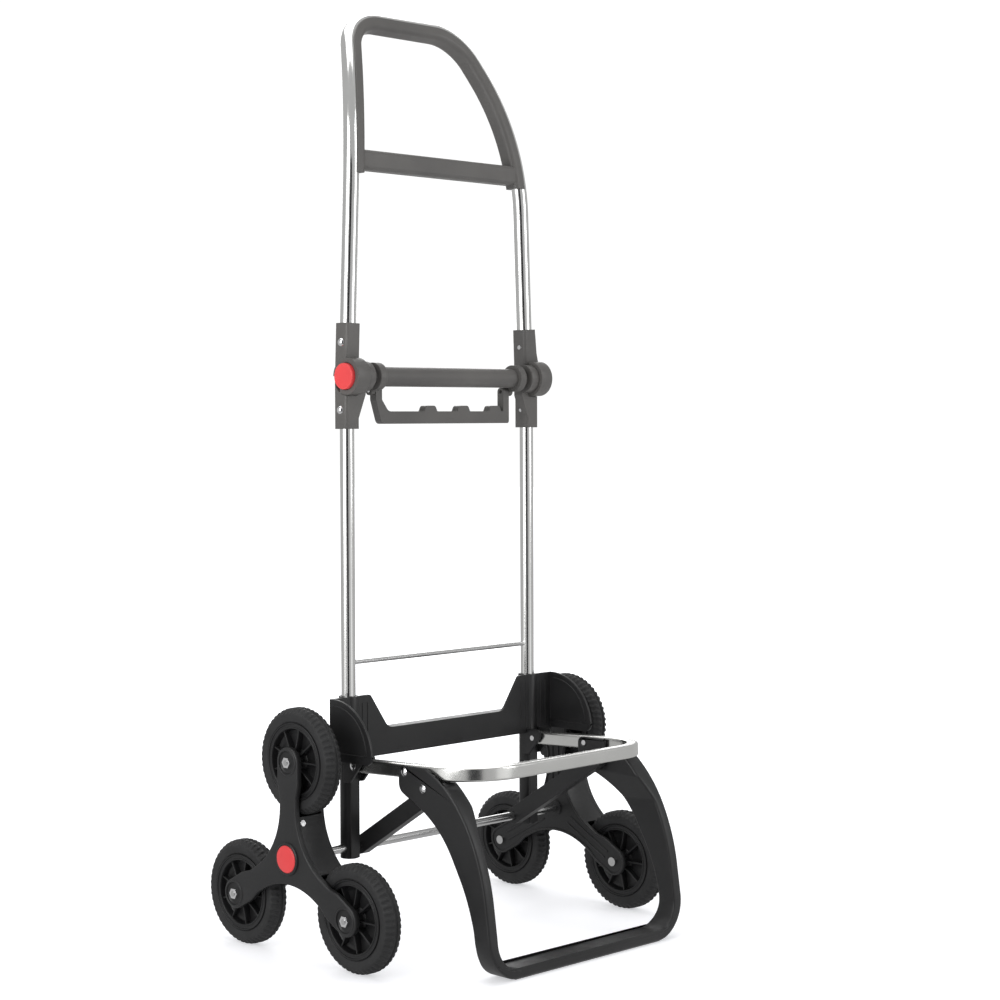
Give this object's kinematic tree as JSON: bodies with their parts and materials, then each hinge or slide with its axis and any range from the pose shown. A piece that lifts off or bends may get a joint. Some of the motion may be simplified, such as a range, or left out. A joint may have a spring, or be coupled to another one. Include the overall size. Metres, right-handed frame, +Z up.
{
  "type": "shopping trolley on wheels",
  "caption": "Folding shopping trolley frame with stair-climbing tri-star wheels, a fold-up bag platform on a bowed stand leg and a hinged loop handle.",
  "frame": {"origin": "on the floor, in the middle of the trolley's outline seen from above", "axes": "+Z up, -Y towards the bag platform and stand leg, +Y towards the person who pulls it, X across the width, right side +X"},
  "size_m": [0.4824, 0.3734, 1.0514],
  "materials": {
    "tyre_rubber": "matt black rubber with ribbed shoulders",
    "black_plastic": "satin black moulded plastic",
    "grey_plastic": "satin warm dark grey moulded plastic",
    "red_plastic": "smooth coral red plastic",
    "aluminium_tube": "polished anodised aluminium tube",
    "bright_steel": "bright drawn steel",
    "chrome_fastener": "polished chrome"
  },
  "bodies": {
    "frame": {"base_bracket": "black_plastic", "foot_left": "black_plastic", "foot_right": "black_plastic", "lower_tube_left": "aluminium_tube", "lower_tube_right": "aluminium_tube", "main_axle": "bright_steel", "axle_push_nuts": "bright_steel", "cross_rod": "bright_steel", "lower_sleeve_left": "grey_plastic", "lower_sleeve_right": "grey_plastic", "hinge_pin_left": "bright_steel", "hinge_pin_right": "bright_steel", "crossbar": "grey_plastic", "crossbar_collar_left": "grey_plastic", "crossbar_collar_right": "grey_plastic", "comb_pins": "chrome_fastener", "lower_rivets": "chrome_fastener", "platform_pins": "chrome_fastener"},
    "handle": {"handle_tube": "aluminium_tube", "handle_grip": "grey_plastic", "upper_sleeve_left": "grey_plastic", "upper_sleeve_right": "grey_plastic", "upper_rivets": "chrome_fastener", "button_spring_left": "bright_steel", "button_spring_right": "bright_steel"},
    "button_left": {"release_button_left": "red_plastic", "button_plunger_left": "black_plastic"},
    "button_right": {"release_button_right": "red_plastic", "button_plunger_right": "black_plastic"},
    "comb": {"comb_grip": "grey_plastic"},
    "platform": {"platform_bar": "aluminium_tube"},
    "leg": {"leg_loop": "black_plastic", "leg_pins": "chrome_fastener"},
    "strut_left": {"strut_left": "black_plastic"},
    "strut_right": {"strut_right": "black_plastic"},
    "tristar_left": {"tristar_fork_left": "black_plastic", "tristar_cover_left": "black_plastic", "hub_cap_left": "red_plastic", "wheel_bolts_left": "bright_steel", "wheel_nuts_left": "chrome_fastener", "wall_screws_left": "chrome_fastener"},
    "wheel_upper_left": {"rim_upper_left": "black_plastic", "tyre_upper_left": "tyre_rubber"},
    "wheel_rear_left": {"rim_rear_left": "black_plastic", "tyre_rear_left": "tyre_rubber"},
    "wheel_front_left": {"rim_front_left": "black_plastic", "tyre_front_left": "tyre_rubber"},
    "tristar_right": {"tristar_fork_right": "black_plastic", "tristar_cover_right": "black_plastic", "hub_cap_right": "red_plastic", "wheel_bolts_right": "bright_steel", "wheel_nuts_right": "chrome_fastener", "wall_screws_right": "chrome_fastener"},
    "wheel_upper_right": {"rim_upper_right": "black_plastic", "tyre_upper_right": "tyre_rubber"},
    "wheel_rear_right": {"rim_rear_right": "black_plastic", "tyre_rear_right": "tyre_rubber"},
    "wheel_front_right": {"rim_front_right": "black_plastic", "tyre_front_right": "tyre_rubber"}
  },
  "joints": [
    {"name": "handle_fold", "type": "hinge", "parent": "frame", "child": "handle", "pos_m": [0, 0.02734, 0.6315], "axis": [1, 0, 0], "range_deg": [0, 177]},
    {"name": "button_left_press", "type": "slide", "parent": "handle", "child": "button_left", "axis": [1, 0, 0], "range_m": [0, 0.0045], "stiffness_N_per_m": 600},
    {"name": "button_right_press", "type": "slide", "parent": "handle", "child": "button_right", "axis": [-1, 0, 0], "range_m": [0, 0.0045], "stiffness_N_per_m": 600},
    {"name": "comb_swing", "type": "hinge", "parent": "frame", "child": "comb", "pos_m": [0, 0.03634, 0.616], "axis": [1, 0, 0], "range_deg": [0, 90]},
    {"name": "platform_fold", "type": "hinge", "parent": "frame", "child": "platform", "pos_m": [0, 0.02084, 0.2035], "axis": [-1, 0, 0], "range_deg": [0, 60]},
    {"name": "leg_fold", "type": "hinge", "parent": "platform", "child": "leg", "pos_m": [0, -0.05966, 0.207], "axis": [1, 0, 0], "range_deg": [0, 96.5]},
    {"name": "strut_left_turn", "type": "hinge", "parent": "frame", "child": "strut_left", "pos_m": [-0.126, 0.03834, 0.11015], "axis": [-1, 0, 0], "range_deg": [0, 31.5]},
    {"name": "tristar_left_turn", "type": "hinge", "parent": "frame", "child": "tristar_left", "pos_m": [-0.2175, 0.03834, 0.11015], "axis": [1, 0, 0], "continuous": true},
    {"name": "wheel_upper_left_roll", "type": "hinge", "parent": "tristar_left", "child": "wheel_upper_left", "pos_m": [-0.2175, 0.03834, 0.21445], "axis": [1, 0, 0], "continuous": true},
    {"name": "wheel_rear_left_roll", "type": "hinge", "parent": "tristar_left", "child": "wheel_rear_left", "pos_m": [-0.2175, 0.12866, 0.058], "axis": [1, 0, 0], "continuous": true},
    {"name": "wheel_front_left_roll", "type": "hinge", "parent": "tristar_left", "child": "wheel_front_left", "pos_m": [-0.2175, -0.05199, 0.058], "axis": [1, 0, 0], "continuous": true},
    {"name": "strut_right_turn", "type": "hinge", "parent": "frame", "child": "strut_right", "pos_m": [0.126, 0.03834, 0.11015], "axis": [-1, 0, 0], "range_deg": [0, 31.5]},
    {"name": "tristar_right_turn", "type": "hinge", "parent": "frame", "child": "tristar_right", "pos_m": [0.2175, 0.03834, 0.11015], "axis": [1, 0, 0], "continuous": true},
    {"name": "wheel_upper_right_roll", "type": "hinge", "parent": "tristar_right", "child": "wheel_upper_right", "pos_m": [0.2175, 0.03834, 0.21445], "axis": [1, 0, 0], "continuous": true},
    {"name": "wheel_rear_right_roll", "type": "hinge", "parent": "tristar_right", "child": "wheel_rear_right", "pos_m": [0.2175, 0.12866, 0.058], "axis": [1, 0, 0], "continuous": true},
    {"name": "wheel_front_right_roll", "type": "hinge", "parent": "tristar_right", "child": "wheel_front_right", "pos_m": [0.2175, -0.05199, 0.058], "axis": [1, 0, 0], "continuous": true}
  ],
  "couplings": [
    {"joint": "leg_fold", "follows": "platform_fold", "ratio": 1.6},
    {"joint": "strut_left_turn", "follows": "platform_fold", "ratio": 0.515},
    {"joint": "strut_right_turn", "follows": "platform_fold", "ratio": 0.515}
  ]
}
